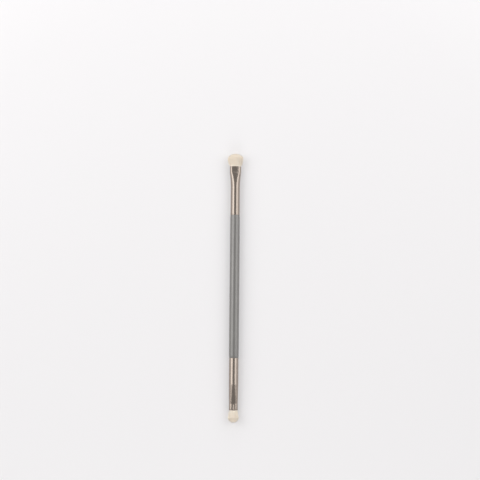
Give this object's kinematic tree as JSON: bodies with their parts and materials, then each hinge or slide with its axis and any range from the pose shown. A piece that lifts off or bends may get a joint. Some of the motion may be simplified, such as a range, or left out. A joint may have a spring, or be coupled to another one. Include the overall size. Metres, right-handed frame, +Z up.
{
  "type": "double ended makeup brush",
  "caption": "Slim brush with a round grey wooden handle and an oval metal ferrule at each end, holding a wide fanned dome of filaments and a smaller rounded one.",
  "frame": {"origin": "on the surface that the brush lies on, under the middle of its overall length", "axes": "+Y along the brush towards the large head, +X across the wide faces of the heads, +Z up, square to the surface that it lies on"},
  "size_m": [0.0098, 0.168, 0.006],
  "materials": {
    "handle": "turned birch dowel under satin warm grey lacquer",
    "ferrule": "satin anodised in a brown champagne tone",
    "filament": "fine cream polyester filaments with tapered tips",
    "glue": "set clear amber epoxy, hidden inside the ferrules"
  },
  "bodies": {
    "root": {"handle": "handle", "large_ferrule": "ferrule", "small_ferrule": "ferrule", "large_tuft": "filament", "small_tuft": "filament", "large_glue_plug": "glue", "small_glue_plug": "glue"}
  },
  "joints": []
}
